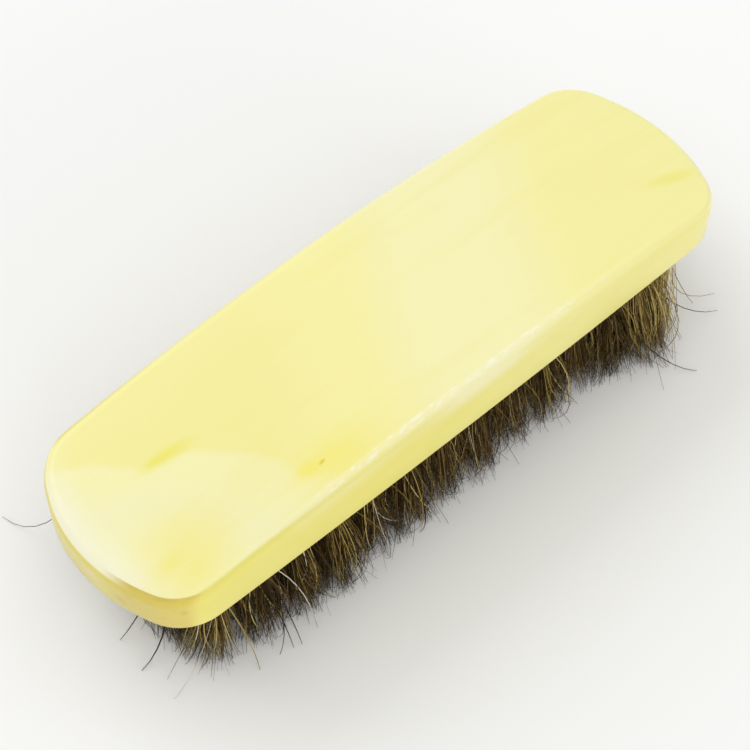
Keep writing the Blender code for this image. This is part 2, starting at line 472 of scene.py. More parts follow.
PALE_WOOD = (0.875, 0.84, 0.472)
LIGHT_WOOD = (0.90, 0.86, 0.45)
SOFT_WOOD = (0.885, 0.845, 0.42)
CREAM_WOOD = (0.90, 0.87, 0.50)
YELLOW_WOOD = (0.868, 0.81, 0.305)
MIDDLE_WOOD = (0.895, 0.845, 0.35)
PATCH_WOOD = (0.87, 0.80, 0.225)
# Painted sheen at the left end's rim, painted highlight on the front edge and painted sheen on the long
# sides
PAINTED_RIM_SHEEN = (0.89, 0.87, 0.69)
PAINTED_EDGE_HIGHLIGHT = (0.94, 0.905, 0.66)
PAINTED_SIDE_SHEEN = (0.84, 0.80, 0.60)
FIGURE_WOOD = (0.86, 0.77, 0.22)
STREAK_WOOD = (0.83, 0.77, 0.13)
HALO_WOOD = (0.89, 0.79, 0.15)
KNOT_WOOD = (0.72, 0.57, 0.02)
# Side and end grain, darker than the top partly as painted shade
SIDE_WOOD = (0.77, 0.685, 0.117)
PALE_SIDE_WOOD = (0.80, 0.735, 0.215)
END_WOOD = (0.63, 0.488, 0.080)
PALE_END_WOOD = (0.70, 0.60, 0.12)
RIGHT_END_WOOD = (0.85, 0.80, 0.40)
STAIN_WOOD = (0.50, 0.34, 0.08)
PINK_WOOD = (0.82, 0.62, 0.28)
WOOD_ROUGHNESS = 0.40
WOOD_GLOSS = 0.35
COAT_WEIGHT = 0.5
COAT_ROUGHNESS = (0.12, 0.34)
SANDING_DEPTH = 0.00008

# Noises in the wood: the sizes of their features along X, Y and Z, and what sets each apart
RAGGED_NOISE = {"sizes": (0.004, 0.004, 0.02), "seed": 1.0}
BROAD_FIGURE_NOISE = {"sizes": (0.055, 0.0050, 0.020), "distortion": 0.8, "seed": 3.0}
FINE_FIGURE_NOISE = {"sizes": (0.020, 0.0012, 0.004), "detail": 3.0, "roughness": 0.6, "seed": 5.0}
MARK_NOISE = {"sizes": (0.010, 0.003, 0.02), "detail": 3.0, "seed": 7.0}
SANDING_NOISE = {"sizes": (0.0035, 0.0014, 0.0014), "seed": 9.0}
GRAIN_NOISE = {"sizes": (0.003, 0.0014, 0.0010), "detail": 3.0, "seed": 11.0}
BLOTCH_NOISE = {"sizes": (0.010, 0.006, 0.006), "seed": 13.0}
COAT_NOISE = {"sizes": (0.010, 0.008, 0.008), "seed": 15.0}
RIM_SHEEN_NOISE = {"sizes": (0.006, 0.006, 0.006), "seed": 17.0}
EDGE_HIGHLIGHT_NOISE = {"sizes": (0.0020, 0.0007, 0.0007), "seed": 19.0}

# Each pair below is where a change begins, and where it is complete. First, changes with how far up a face
# points, from 0 to 1. The corners were sawn and sanded to a crisper edge than the long sides
CORNER_TURN = (0.78, 0.83)
END_TURN = (0.42, 0.62)
STAIN_TURN = (0.55, 0.72)
ROUNDED_TURN = (0.15, 0.45)
FLAT_TOP_TURN = (0.985, 0.93)
EDGE_FOOT_TURN = (0.0, 0.50)
EDGE_TOP_TURN = (0.995, 0.74)
HIGHLIGHT_FOOT_TURN = (0.62, 0.80)
HIGHLIGHT_TOP_TURN = (0.992, 0.965)

# Changes with how far a face points along X, as a share of how far it points sideways, or along Y
END_FACING = (0.30, 0.60)
FRONT_FACING = (0.1, -0.1)
HIGHLIGHT_FRONT_FACING = (-0.02, -0.10)

# Changes along X and across the block
PALE_SIDE_PLACES = (-0.015, 0.035)
RIGHT_END_PLACES = (0.0, 0.010)
FRONT_CORNER_PLACES = (-0.004, -0.013)
RIM_SHEEN_FRONT_PLACES = (-0.026, -0.004)
RIM_SHEEN_BACK_PLACES = (0.024, 0.010)

# Changes with the distance past the growth line
CREAM_DISTANCES = (-0.040, -0.016)
SOFT_DISTANCES = (-0.018, -0.003)
BAND_DISTANCES = (-0.0008, 0.0024)

# Changes with a noise, from 0 to 1
BROAD_LINES = (0.50, 0.75)
FINE_LINES = (0.45, 0.85)
STAINED_BLOTCHES = (0.35, 0.65)
EDGE_HIGHLIGHT_BREAKS = (0.46, 0.64)

# How strongly each part of the wood's looks shows, and the least and most of the painted rim sheen and edge
# highlight
BROAD_LINE_STRENGTH = 0.22
FINE_LINE_STRENGTH = 0.08
BLOTCH_STRENGTH = 0.25
GRAIN_STRENGTH = 0.35
RIM_STAIN_STRENGTH = 0.35
RIM_SHEEN_SHARES = (0.40, 1.0)
EDGE_HIGHLIGHT_SHARES = (0.25, 0.95)

# The bands past the growth line run askew, as (share of the block's length, colour) stops
BAND_SLANT = -0.6
BANDS = (
    (0.25, YELLOW_WOOD),
    (0.42, MIDDLE_WOOD),
    (0.56, LIGHT_WOOD),
    (0.66, LIGHT_WOOD),
    (0.80, MIDDLE_WOOD),
)

# Marks on the wood: centre, half sizes, turn in plan, how hard the edge is, strength and colour
TOP_MARKS = (
    ((-0.0668, -0.0155, 0), (0.0180, 0.0155, 1), 0.5, 0.0, 0.85, PATCH_WOOD),
    ((-0.0550, 0.0045, 0), (0.0095, 0.0026, 1), -0.12, 0.0, 0.95, STREAK_WOOD),
    ((-0.0572, 0.0048, 0), (0.0034, 0.0009, 1), -0.25, 0.2, 0.90, STREAK_WOOD),
    ((-0.0315, -0.0185, 0), (0.0140, 0.0080, 1), -0.05, 0.0, 0.65, HALO_WOOD),
    ((-0.0368, -0.0170, 0), (0.0044, 0.0024, 1), -0.05, 0.0, 0.90, HALO_WOOD),
    ((-0.0343, -0.0176, 0), (0.0012, 0.0005, 1), 0.2, 0.2, 0.90, KNOT_WOOD),
    ((0.0690, -0.0120, 0), (0.0110, 0.0027, 1), -0.30, 0.0, 0.60, STREAK_WOOD),
    ((0.0545, 0.0226, 0), (0.0020, 0.0010, 1), 0.0, 0.0, 0.60, STREAK_WOOD),
)
END_MARKS = (
    ((-0.0766, -0.0160, 0.0324), (0.0020, 0.0014, 0.0006), 0.0, 0.2, 0.90, STAIN_WOOD),
    ((-0.0759, -0.0176, 0.0331), (0.0020, 0.0014, 0.0006), 0.0, 0.2, 0.90, STAIN_WOOD),
    ((-0.0782, -0.0100, 0.0252), (0.0020, 0.0022, 0.0022), 0.0, 0.0, 0.50, STAIN_WOOD),
    ((-0.0774, -0.0121, 0.0282), (0.0020, 0.0013, 0.0008), 0.0, 0.0, 0.50, STAIN_WOOD),
    ((-0.0723, -0.0217, 0.0282), (0.0016, 0.0008, 0.0014), 0.0, 0.0, 0.45, STAIN_WOOD),
    ((-0.0799, -0.0025, 0.0270), (0.0020, 0.0036, 0.0026), 0.0, 0.0, 0.60, PINK_WOOD),
)

# The spans that hold the places, and the shares, of the curves below
PLACE_SPAN = (-0.08, 0.08)
SHARE_SPAN = (-0.2, 1.0)

# The growth line that crosses the block near its left end, as (y, x) places, and how ragged it is
RAGGED_DEPTH = 0.0016
GROWTH_LINE = (
    (-0.0240, -0.0320),
    (-0.0208, -0.0351),
    (-0.0180, -0.0385),
    (-0.0139, -0.0396),
    (-0.0095, -0.0412),
    (-0.0048, -0.0449),
    (-0.0012, -0.0482),
    (0.0022, -0.0515),
    (0.0040, -0.0560),
    (0.0062, -0.0610),
    (0.0128, -0.0664),
    (0.0173, -0.0729),
    (0.0240, -0.0770),
)

# How far up the long sides face where they begin to look like the top, as (x, share) places. The change is
# complete at this share of the way from there to the top
SIDE_TURNS = (
    (-0.0800, 0.78),
    (-0.0600, 0.72),
    (-0.0400, 0.48),
    (-0.0150, 0.22),
    (0.0400, 0.12),
)
SIDE_TURN_SHARE = 0.75
TOP_FACING = 0.99

# Painted shade: how bright the long sides are low down and at their top edge, and between which heights
# that changes.
# These heights, and those of the painted sheen, are the ones that the wood would have without its arch
SIDE_SHADES = (1.0, 0.93)
SIDE_SHADE_HEIGHTS = (0.0250, 0.0345)

# How much painted shade darkens the rounded top edges behind and in front, and where in front that begins
# along X
BACK_EDGE_DROP = 0.07
FRONT_EDGE_DROP = 0.08
FRONT_DROP_PLACES = (-0.065, -0.025)

# The rim of the left end, along which the painted sheen lies, as (y, x) places
RIM_LINE = (
    (-0.0240, -0.0660),
    (-0.0220, -0.0714),
    (-0.0180, -0.0752),
    (-0.0128, -0.0773),
    (-0.0064, -0.0793),
    (0.0064, -0.0793),
    (0.0128, -0.0773),
    (0.0180, -0.0752),
    (0.0220, -0.0714),
    (0.0240, -0.0660),
)
RIM_SHEEN_REACH = 0.0085

# How strong the painted highlight along the front's rounded top edge is, as (x, share) places
EDGE_HIGHLIGHT_SPREAD = (
    (-0.0750, 0.0),
    (-0.0500, 0.15),
    (-0.0400, 0.40),
    (-0.0300, 1.0),
    (0.0100, 1.0),
    (0.0270, 0.40),
    (0.0500, 0.0),
)

# How strong the painted sheen on the upper part of the long sides is, as (x, share) places
SIDE_SHEEN_HEIGHTS = (0.0300, 0.0355)
SIDE_SHEEN_SPREAD = (
    (-0.0500, 0.0),
    (-0.0300, 0.22),
    (-0.0150, 0.16),
    (0.0, 0.62),
    (0.0150, 0.24),
    (0.0300, 0.08),
    (0.0500, 0.0),
)


def lacquered_wood():
    material, tree, shader = new_material("lacquered_wood_finish")
    places = places_of(tree)
    colour = banded_colour(tree, places)
    colour = blend(tree, figure(tree, places), colour, FIGURE_WOOD)
    colour = add_marks(tree, places, colour, TOP_MARKS)
    # Painted sheen at the left rim, side and end colours partly of painted shade, a painted highlight on
    # the front edge, and painted shade on the rounded edges
    colour = painted_rim_sheen(tree, places, colour)
    colour = painted_edge_highlight(tree, places, side_colour(tree, places, colour))
    feed(tree, shader.inputs["Base Color"], shaded(tree, colour, edge_shade(tree, places)))
    sanded = sanding(tree, places)
    feed(tree, shader.inputs["Normal"], sanded)
    feed(tree, shader.inputs["Coat Normal"], sanded)
    patchy = noise(tree, places, **COAT_NOISE)
    feed(tree, shader.inputs["Coat Roughness"], between(tree, patchy, *COAT_ROUGHNESS))
    shader.inputs["Roughness"].default_value = WOOD_ROUGHNESS
    shader.inputs["Specular IOR Level"].default_value = WOOD_GLOSS
    shader.inputs["Coat Weight"].default_value = COAT_WEIGHT
    return material


def facing(tree):
    """How far the surface faces along X, along Y and upwards."""
    return split(tree, add_node(tree, "ShaderNodeNewGeometry").outputs["Normal"])


def sanding(tree, places):
    """The unevenness that hand sanding left on the rounded edges."""
    waves = add_node(tree, "ShaderNodeBump")
    waves.inputs["Distance"].default_value = SANDING_DEPTH
    feed(tree, waves.inputs["Strength"], within(tree, facing(tree)[2], FLAT_TOP_TURN, ROUNDED_TURN))
    feed(tree, waves.inputs["Height"], noise(tree, places, **SANDING_NOISE))
    return waves.outputs[0]


def banded_colour(tree, places):
    """Pale wood before the growth line, yellow straight after it, palest past the middle of the block."""
    x, y, _ = split(tree, places)
    line = curve_of(tree, y, PLACE_SPAN, GROWTH_LINE)
    ragged = product(tree, noise(tree, places, **RAGGED_NOISE), RAGGED_DEPTH)
    beyond = calc(tree, "ADD", calc(tree, "SUBTRACT", x, line), ragged)
    before = blend(tree, step_from(tree, beyond, *CREAM_DISTANCES), CREAM_WOOD, PALE_WOOD)
    before = blend(tree, step_from(tree, beyond, *SOFT_DISTANCES), before, SOFT_WOOD)
    slanted = calc(tree, "MULTIPLY_ADD", y, BAND_SLANT, x)
    share = calc(tree, "DIVIDE", calc(tree, "ADD", slanted, HALF_LENGTH), 2 * HALF_LENGTH)
    return blend(tree, step_from(tree, beyond, *BAND_DISTANCES), before, ramp(tree, share, BANDS))


def painted_rim_sheen(tree, places, colour):
    """A painted sheen, whitish, along the rim of the left end."""
    x, y, _ = split(tree, places)
    inwards = calc(tree, "SUBTRACT", x, curve_of(tree, y, PLACE_SPAN, RIM_LINE))
    near = step_from(tree, inwards, RIM_SHEEN_REACH, 0)
    middle = within(tree, y, RIM_SHEEN_FRONT_PLACES, RIM_SHEEN_BACK_PLACES)
    uneven = between(tree, noise(tree, places, **RIM_SHEEN_NOISE), *RIM_SHEEN_SHARES)
    return blend(tree, product(tree, near, middle, uneven), colour, PAINTED_RIM_SHEEN)


def painted_edge_highlight(tree, places, colour):
    """A painted highlight: a broken whitish line along the front's rounded top edge."""
    _, across, upward = facing(tree)
    rounded = within(tree, upward, HIGHLIGHT_TOP_TURN, HIGHLIGHT_FOOT_TURN)
    front = step_from(tree, across, *HIGHLIGHT_FRONT_FACING)
    highlight_spread = curve_of(tree, split(tree, places)[0], SHARE_SPAN, EDGE_HIGHLIGHT_SPREAD)
    broken = step_from(tree, noise(tree, places, **EDGE_HIGHLIGHT_NOISE), *EDGE_HIGHLIGHT_BREAKS)
    broken = between(tree, broken, *EDGE_HIGHLIGHT_SHARES)
    return blend(tree, product(tree, rounded, front, highlight_spread, broken), colour, PAINTED_EDGE_HIGHLIGHT)


def figure(tree, places):
    """Soft lines along the block, fine and broad."""
    broad = step_from(tree, noise(tree, places, **BROAD_FIGURE_NOISE), *BROAD_LINES)
    fine = step_from(tree, noise(tree, places, **FINE_FIGURE_NOISE), *FINE_LINES)
    return calc(tree, "MULTIPLY_ADD", fine, FINE_LINE_STRENGTH, product(tree, broad, BROAD_LINE_STRENGTH))


def side_colour(tree, places, top):
    """The top's colour on top, side grain round the long sides and stained end grain at both ends, the last
    two darker partly as painted shade.
    """
    upward = facing(tree)[2]
    x, y, _ = split(tree, places)
    blotches = noise(tree, places, **BLOTCH_NOISE)
    at_corner = step_from(tree, y, *FRONT_CORNER_PLACES)
    side = long_side_colour(tree, places, blotches, top)
    end = end_colour(tree, places, blotches, at_corner)
    round_side = blend(tree, side_turn(tree, x, upward), side, top)
    round_end = blend(tree, step_from(tree, upward, *END_TURN), end, top)
    round_corner = blend(tree, step_from(tree, upward, *CORNER_TURN), end, top)
    return blend(tree, end_share(tree), round_side, blend(tree, at_corner, round_end, round_corner))


def long_side_colour(tree, places, blotches, top):
    """Side grain, its colour partly painted shade, blotched with the top's colour, with more painted shade
    and a painted sheen higher up.
    """
    x, _, z = split(tree, places)
    height = unarched(tree, x, z)
    side = blend(tree, step_from(tree, x, *PALE_SIDE_PLACES), SIDE_WOOD, PALE_SIDE_WOOD)
    side = blend(tree, product(tree, blotches, BLOTCH_STRENGTH), side, top)
    side = shaded(tree, side, between(tree, step_from(tree, height, *SIDE_SHADE_HEIGHTS), *SIDE_SHADES))
    painted_sheen = product(tree, curve_of(tree, x, SHARE_SPAN, SIDE_SHEEN_SPREAD), step_from(tree, height, *SIDE_SHEEN_HEIGHTS))
    return blend(tree, calc(tree, "MAXIMUM", painted_sheen, 0), side, PAINTED_SIDE_SHEEN)


def end_colour(tree, places, blotches, at_corner):
    """End grain, darker than the top partly as painted shade, darker still at the front corner of the left
    end, with stains near its top edge.
    """
    end = blend(tree, at_corner, PALE_END_WOOD, END_WOOD)
    end = blend(tree, step_from(tree, split(tree, places)[0], *RIGHT_END_PLACES), end, RIGHT_END_WOOD)
    end = blend(tree, product(tree, noise(tree, places, **GRAIN_NOISE), GRAIN_STRENGTH), end, SIDE_WOOD)
    rim = step_from(tree, facing(tree)[2], *STAIN_TURN)
    stained = product(tree, rim, step_from(tree, blotches, *STAINED_BLOTCHES), RIM_STAIN_STRENGTH)
    return add_marks(tree, places, blend(tree, stained, end, STAIN_WOOD), END_MARKS)


def end_share(tree):
    """1 on the ends of the block and 0 on its long sides."""
    along, _, upward = facing(tree)
    level = calc(tree, "SQRT", rest_of(tree, product(tree, upward, upward)))
    return step_from(tree, calc(tree, "DIVIDE", calc(tree, "ABSOLUTE", along), level), *END_FACING)


def side_turn(tree, x, upward):
    """0 where a long side keeps its own look, and 1 where its rounded edge looks like the top."""
    start = curve_of(tree, x, SHARE_SPAN, SIDE_TURNS)
    span = product(tree, calc(tree, "SUBTRACT", TOP_FACING, start), SIDE_TURN_SHARE)
    return step_from(tree, calc(tree, "DIVIDE", calc(tree, "SUBTRACT", upward, start), span), 0, 1)


def unarched(tree, x, z):
    """The height that a place would have if the top weren't arched."""
    return calc(tree, "MULTIPLY_ADD", product(tree, x, x), ARCH_DROP / HALF_LENGTH**2, z)


def edge_shade(tree, places):
    """Painted shade: the rounded top edges of the long sides are a little darker, in front only away from
    the left end.
    """
    _, across, upward = facing(tree)
    rounded = within(tree, upward, EDGE_FOOT_TURN, EDGE_TOP_TURN)
    front = step_from(tree, across, *FRONT_FACING)
    away = step_from(tree, split(tree, places)[0], *FRONT_DROP_PLACES)
    away = calc(tree, "MAXIMUM", away, rest_of(tree, front))
    drop = between(tree, front, BACK_EDGE_DROP, FRONT_EDGE_DROP)
    return rest_of(tree, product(tree, rounded, rest_of(tree, end_share(tree)), drop, away))


def add_marks(tree, places, colour, marks):
    """Tints the wood where the photograph shows streaks, a knot and stains."""
    spread = noise(tree, places, **MARK_NOISE)
    for centre, half_sizes, turn, hardness, strength, tint in marks:
        mask = patch(tree, places, centre, half_sizes, turn, hardness)
        uneven = calc(tree, "MULTIPLY_ADD", spread, strength, strength / 2)
        colour = blend(tree, product(tree, mask, uneven), colour, tint)
    return colour


# Block


def bowed_edge(half_span, middle, bow, steps):
    """Places and outward directions along half of a bowed edge, from its middle to its end."""
    found = []
    for step in range(steps + 1):
        along = half_span * step / steps
        fall = bow * (along / half_span) ** 2
        slope = 2 * bow * along / half_span**2
        found.append((Vector((along, middle - fall)), Vector((slope, 1)).normalized()))
    return found


def quarter_outline(half_length, half_width, inset):
    """The plan outline from the middle of the +Y side to the middle of the +X end."""
    reach = CORNER_RADIUS - inset
    core_x, core_y = half_length - CORNER_RADIUS, half_width - CORNER_RADIUS
    side = bowed_edge(core_x - END_BOW, core_y, SIDE_BOW, SIDE_STEPS)
    end = bowed_edge(core_y - SIDE_BOW, core_x, END_BOW, END_STEPS)
    end = [(place.yx, outward.yx) for place, outward in reversed(end)]
    first_turn = math.atan2(side[-1][1].y, side[-1][1].x)
    last_turn = math.atan2(end[0][1].y, end[0][1].x)
    points = [place + reach * outward for place, outward in side]
    for step in range(1, CORNER_STEPS):
        turn = first_turn + (last_turn - first_turn) * step / CORNER_STEPS
        points.append(side[-1][0] + reach * Vector((math.cos(turn), math.sin(turn))))
    return points + [place + reach * outward for place, outward in end]


def whole_outline(half_length, half_width, inset):
    """The whole plan outline, clockwise from the middle of the +Y side, with its one hand-sanded corner."""
    quarter = quarter_outline(half_length, half_width, inset)
    half = quarter + [Vector((p.x, -p.y)) for p in reversed(quarter[:-1])]
    whole = half + [Vector((-p.x, p.y)) for p in reversed(half[1:-1])]
    return [p + sanded_away(p, half_length, half_width) for p in whole]


def sanded_away(place, half_length, half_width):
    """How far inwards the hand-sanded corner lies at a place on the outline."""
    inwards = Vector((1, -1)).normalized()
    corner = Vector((-half_length, half_width)) + inwards * CORNER_RADIUS * (math.sqrt(2) - 1)
    apart = (place - corner).length / SANDED_REACH
    return inwards * SANDED_DEPTH * math.exp(-(apart**2))


def block_levels(low, high):
    """The rings of the block: the inset of each, its height half-way along, and how far its ends drop."""
    levels = []
    for step in range(BOTTOM_STEPS + 1):
        turn = math.pi / 2 * step / BOTTOM_STEPS
        height = low.z + BOTTOM_EASING * (1 - math.cos(turn))
        levels.append((BOTTOM_EASING * (1 - math.sin(turn)), height, 0))
    for step in range(TOP_STEPS + 1):
        turn = math.pi / 2 * step / TOP_STEPS
        height = high.z - TOP_ROUNDING * (1 - math.sin(turn))
        levels.append((TOP_ROUNDING * (1 - math.cos(turn)), height, ARCH_DROP))
    return levels


def close_top(bm, ring):
    """Spans the last ring with strips across the block, so that the top follows its arch.

    The outermost strips end in a point, so a corner that comes twice counts once.
    """
    opposite = len(ring) // 2
    right, left = ring[: opposite + 1], [ring[0], *reversed(ring[opposite:])]
    for half in (right, left):
        for step in range(len(half) // 2):
            corners = [half[step], half[step + 1], half[-2 - step], half[-1 - step]]
            bm.faces.new(dict.fromkeys(corners))


def make_block(material):
    """The wooden block, finer than its CAD node, with the same holes in its underside."""
    low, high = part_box("wood_block")
    bm = bmesh.new()
    rings = []
    for inset, height, drop in block_levels(low, high):
        outline = whole_outline(high.x, high.y, inset)
        rings.append([bm.verts.new((p.x, p.y, height - drop * (p.x / high.x) ** 2)) for p in outline])
    bm.faces.new(rings[0])
    for lower, upper in zip(rings, rings[1:]):
        for k in range(len(lower)):
            bm.faces.new((lower[k - 1], lower[k], upper[k], upper[k - 1]))
    close_top(bm, rings[-1])
    block = solid_piece("lacquered_block", bm, material)
    drill_holes(block, hole_cutter(low.z))
    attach(block, BODY)
    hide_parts("wood_block")


def hole_cutter(underside):
    """The blind holes of all the tufts as one solid, each with its drill point."""
    bm = bmesh.new()
    for name in tuft_names():
        centre, fold = hole_of(name)
        floor = fold + HOLE_CLEARANCE
        height = floor - underside + CUT_OVERRUN
        drill = bmesh.ops.create_cone(
            bm,
            cap_ends=True,
            segments=HOLE_SIDES,
            radius1=HOLE_RADIUS,
            radius2=HOLE_RADIUS,
            depth=height,
            matrix=Matrix.Translation((*centre, floor - height / 2)),
        )
        faces = {face for vert in drill["verts"] for face in vert.link_faces}
        end = max(faces, key=lambda face: face.calc_center_median().z)
        bmesh.ops.poke(bm, faces=[end])["verts"][0].co.z += DRILL_POINT
    return solid_piece("hole_cutter", bm, None)


def drill_holes(block, cutter):
    """Cuts the holes. The underside is shaded flat, as its thin faces between the holes would look bent."""
    cut = block.modifiers.new("holes", "BOOLEAN")
    cut.solver = "EXACT"
    cut.object = cutter
    evaluated = block.evaluated_get(bpy.context.evaluated_depsgraph_get())
    drilled = bpy.data.meshes.new_from_object(evaluated)
    block.modifiers.clear()
    rounded = [face.normal.z > -FLAT_FACING for face in drilled.polygons]
    drilled.polygons.foreach_set("use_smooth", rounded)
    block.data = drilled
    bpy.data.objects.remove(cutter)


def solid_piece(name, bm, material):
    bmesh.ops.recalc_face_normals(bm, faces=bm.faces)
    mesh = bpy.data.meshes.new(name)
    bm.to_mesh(mesh)
    bm.free()
    mesh.shade_smooth()
    mesh.set_sharp_from_angle(angle=SHARP_TURN)
    if material:
        mesh.materials.append(material)
    return link_object(name, mesh)


# Hair

DARK_HAIR = (0.016, 0.009, 0.002)
BROWN_HAIR = (0.094, 0.055, 0.015)
WARM_HAIR = (0.225, 0.146, 0.037)
OLIVE_HAIR = (0.390, 0.288, 0.078)
GOLD_HAIR = (0.660, 0.525, 0.200)
GREY_HAIR = (0.720, 0.680, 0.580)
TIP_HAIR = (0.036, 0.021, 0.008)
HAIR_ROUGHNESS = 0.45
HAIR_GLOSS = 0.08

# The colours of the tones from 0 to 1
TONE_COLOURS = (
    (0.0, DARK_HAIR),
    (0.42, BROWN_HAIR),
    (0.63, WARM_HAIR),
    (0.78, OLIVE_HAIR),
    (0.92, GOLD_HAIR),
    (1.0, GREY_HAIR),
)

# Kinds of hair: the share of each, and its lowest and highest tone. Locks and lifts leave the grey ones as
# they are, and make no other hair lighter than the lightest gold
HAIR_KINDS = (
    (0.60, 0.0, 0.30),
    (0.26, 0.30, 0.60),
    (0.08, 0.55, 0.80),
    (0.045, 0.75, 0.93),
    (0.015, 0.95, 1.0),
)
FIRST_GREY = 0.95
LIGHTEST_GOLD = 0.92

# How hairs change along their length, from 0 at the hole's mouth to 1 at the tip
MOTTLE_NOISE = {"sizes": (1.0, 0.15, 1.0), "seed": 2.0}
MOTTLE_STRENGTH = 0.20
TONES_APART = 1000.0
DARK_TIP = (0.70, 1.0)
DARK_TIP_STRENGTH = 0.75

# Staple
WIRE_GREYS = ((0.42, 0.41, 0.40), (0.62, 0.61, 0.60))
WIRE_NOISE = {"sizes": (0.0008, 0.0008, 0.0008), "detail": 3.0}
WIRE_ROUGHNESS = 0.38


def horsehair():
    material, tree, shader = new_material("horsehair_strands")
    along = attribute(tree, "along")
    mottled = noise(tree, each_hair(tree, along), **MOTTLE_NOISE)
    colour = ramp(tree, attribute(tree, "tone"), TONE_COLOURS)
    colour = blend(tree, product(tree, mottled, MOTTLE_STRENGTH), colour, BROWN_HAIR)
    darkened = product(tree, step_from(tree, along, *DARK_TIP), DARK_TIP_STRENGTH)
    feed(tree, shader.inputs["Base Color"], blend(tree, darkened, colour, TIP_HAIR))
    shader.inputs["Roughness"].default_value = HAIR_ROUGHNESS
    shader.inputs["Specular IOR Level"].default_value = HAIR_GLOSS
    return material


def each_hair(tree, along):
    """Places that run along every hair and lie far apart from one tone to the next."""
    node = add_node(tree, "ShaderNodeCombineXYZ")
    feed(tree, node.inputs["X"], product(tree, attribute(tree, "tone"), TONES_APART))
    feed(tree, node.inputs["Y"], along)
    return node.outputs[0]


def wire():
    material, tree, shader = new_material("staple_wire")
    worn = noise(tree, places_of(tree), **WIRE_NOISE)
    feed(tree, shader.inputs["Base Color"], blend(tree, worn, *WIRE_GREYS))
    shader.inputs["Metallic"].default_value = 1.0
    shader.inputs["Roughness"].default_value = WIRE_ROUGHNESS
    return material


def tuft_names():
    return sorted(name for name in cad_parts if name.startswith("tuft_"))


def hole_of(name):
    """The place in plan of a tuft's hole, and the height of its fold, from its CAD node."""
    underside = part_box("wood_block")[0].z
    inside = [v.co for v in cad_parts[name].data.vertices if v.co.z > underside + HOLE_CLEARANCE]
    low = [min(co[axis] for co in inside) for axis in range(2)]
    high = [max(co[axis] for co in inside) for axis in range(2)]
    return ((low[0] + high[0]) / 2, (low[1] + high[1]) / 2), max(co.z for co in inside)


def make_tufts(hair, wire_finish):
    for index, name in enumerate(tuft_names()):
        rng = np.random.default_rng(SEED + index)
        piece = make_tuft(name, rng, hair, wire_finish)
        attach(piece, BODY)
        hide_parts(name)


def make_tuft(name, rng, hair, wire_finish):
    """One tuft: hairs folded over a staple in their hole, spreading from its mouth to the floor."""
    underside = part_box("wood_block")[0].z
    centre, fold = hole_of(name)
    centre = np.array(centre)
    ends = rooted_ends(rng)
    tips = tip_places(rng, name, centre, ends)
    tone = hair_tones(rng, name, centre, ends[0])
    radius = HAIR_RADIUS * (1 - THIN_HAIR_SHARE * rng.random(FOLDED_HAIRS) ** THIN_HAIR_POWER)
    outside = [bristle(rng, centre, underside, ends[half], tips[half]) for half in range(2)]
    place_strays(name, tone, radius, outside[0])
    radius *= 1 + PALE_HAIR_EXTRA * tone
    inside = folded(ends, fold - underside) + (*centre, underside)
    paths = np.concatenate([outside[0][:, ::-1], inside, outside[1]], axis=1)
    share = np.linspace(0, 1, HAIR_STEPS + 1)
    along = np.concatenate([share[::-1], np.zeros(inside.shape[1]), share])
    radii = radius[:, None] * (1 - (1 - TIP_THICKNESS_SHARE) * along**TAPER_POWER)
    hairs = tubes(paths, radii, radii, HAIR_SIDES, ALONG_X)
    tones = np.repeat(tone, paths.shape[1] * HAIR_SIDES)
    alongs = np.tile(np.repeat(along, HAIR_SIDES), FOLDED_HAIRS)
    return hair_piece(name + "_hair", hairs, tones, alongs, staple_wire(centre, fold), (hair, wire_finish))


def place_strays(name, tone, radius, paths):
    """Turns a tuft's first hairs into its strays. Hairs that share a column of the map share a tone."""
    strays = [stray for stray in STRAYS if name == "tuft_" + stray[0]]
    for number, (_, stray_tone, thickness, halfway, tip) in enumerate(strays):
        tone[number::MAPPED_HAIRS] = stray_tone
        radius[number] = HAIR_RADIUS * thickness
        paths[number] = stray_path(paths[number][0], halfway, tip)


def rooted_ends(rng):
    """Where both ends of each hair leave the mouth of the hole, as shares of the bundle's radius."""
    reach = np.sqrt(rng.random(MAPPED_HAIRS))
    turn = math.pi * rng.random(MAPPED_HAIRS)
    first = np.stack([reach * np.cos(turn), -reach * np.sin(turn)], 1)
    first = first[np.arange(FOLDED_HAIRS) % MAPPED_HAIRS]
    return np.stack([first, first * (1, -1)])


def lean_of(rng, name, centre):
    """How far a tuft's tips lean away from straight below its hole."""
    row, number = (int(part) for part in name.removeprefix("tuft_row").split("_"))
    lean = np.array((0.0, SIDE_SPLAY * centre[1] / LAST_HOLE[1])) + rng.normal(0, LEAN_SCATTER, 2)
    if row == 1:
        lean[1] = -FRONT_SPLAYS[number - 1]
    last_in_row = abs(centre[0]) > LAST_HOLE[0] - TIP_PITCH[0] / 2 - HOLE_RADIUS
    if last_in_row:
        lean[0] = END_LEANS[int(centre[0] > 0)]
    return np.array(SEEN_LEANS.get(name, lean))


